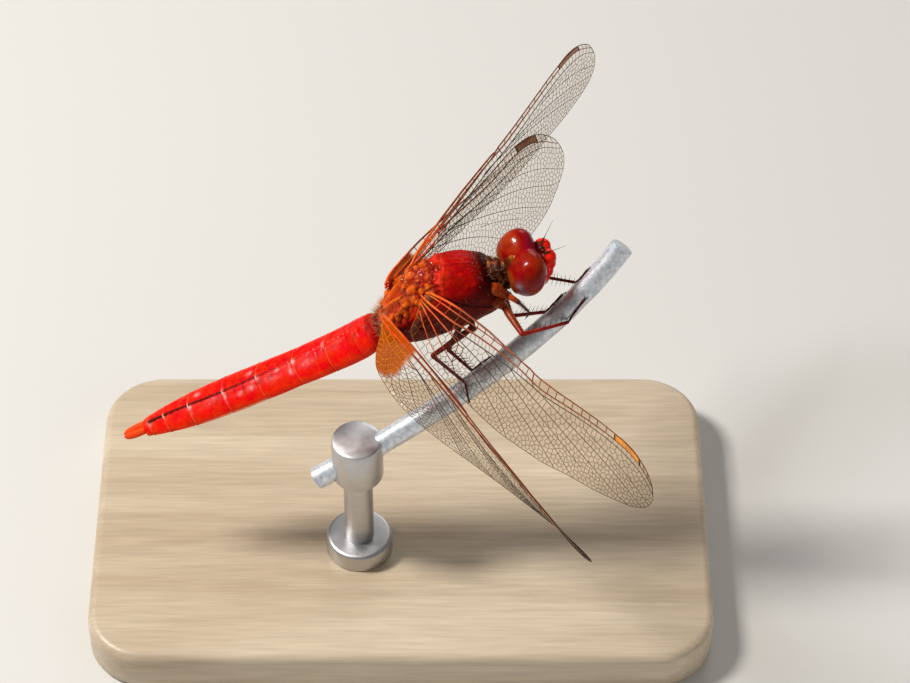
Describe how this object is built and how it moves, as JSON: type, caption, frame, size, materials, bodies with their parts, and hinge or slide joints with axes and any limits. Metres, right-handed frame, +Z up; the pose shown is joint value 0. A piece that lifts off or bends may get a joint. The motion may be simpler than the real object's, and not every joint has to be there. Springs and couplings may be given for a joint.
{
  "type": "scarlet skimmer dragonfly model",
  "caption": "Life-size still model of a male scarlet skimmer dragonfly gripping a cut length of fence wire, with drooped clear wings, on a plain display stand.",
  "frame": {"origin": "middle of the underside of the stand's base", "axes": "+Z up, +X along the base's long side towards the side that the insect's head points to, +Y to the insect's left"},
  "size_m": [0.064, 0.0546, 0.0471],
  "materials": {
    "eye": "glossy compound eye, fine facets",
    "face": "glossy bright red cuticle",
    "head_amber": "glossy amber and brown cuticle",
    "brown_cuticle": "dark brown cuticle",
    "thorax_red": "satin deep red cuticle with fine down",
    "abdomen_red": "satin scarlet cuticle",
    "wing_membrane": "clear wing membrane with a faint amber tint",
    "wing_vein": "dark brown to orange-red veins",
    "femur_orange": "orange-brown cuticle",
    "tibia_red": "dark red cuticle",
    "bristle": "black leg spines and pale body down",
    "galvanised_wire": "weathered galvanised zinc, dull",
    "stand_wood": "pale maple, satin",
    "stand_steel": "satin"
  },
  "bodies": {
    "root": {"abdomen_s1": "abdomen_red", "abdomen_s10": "abdomen_red", "abdomen_s2": "abdomen_red", "abdomen_s3": "abdomen_red", "abdomen_s4": "abdomen_red", "abdomen_s5": "abdomen_red", "abdomen_s6": "abdomen_red", "abdomen_s7": "abdomen_red", "abdomen_s8": "abdomen_red", "abdomen_s9": "abdomen_red", "antenna_left": "brown_cuticle", "antenna_right": "brown_cuticle", "cercus_left": "abdomen_red", "cercus_right": "abdomen_red", "epiproct": "abdomen_red", "eye_left": "eye", "eye_right": "eye", "face": "face", "head": "head_amber", "leg_fore_left_femur": "femur_orange", "leg_fore_left_tarsus": "tibia_red", "leg_fore_left_tibia": "tibia_red", "leg_fore_right_femur": "femur_orange", "leg_fore_right_tarsus": "tibia_red", "leg_fore_right_tibia": "tibia_red", "leg_hind_left_femur": "femur_orange", "leg_hind_left_tarsus": "tibia_red", "leg_hind_left_tibia": "tibia_red", "leg_hind_right_femur": "femur_orange", "leg_hind_right_tarsus": "tibia_red", "leg_hind_right_tibia": "tibia_red", "leg_mid_left_femur": "femur_orange", "leg_mid_left_tarsus": "tibia_red", "leg_mid_left_tibia": "tibia_red", "leg_mid_right_femur": "femur_orange", "leg_mid_right_tarsus": "tibia_red", "leg_mid_right_tibia": "tibia_red", "perch_wire": "galvanised_wire", "prothorax": "brown_cuticle", "stand_base": "stand_wood", "stand_clamp": "stand_steel", "stand_collar": "stand_steel", "stand_rod": "stand_steel", "thorax": "thorax_red", "wing_fore_left": "wing_membrane", "wing_fore_right": "wing_membrane", "wing_hind_left": "wing_membrane", "wing_hind_right": "wing_membrane"}
  },
  "joints": []
}
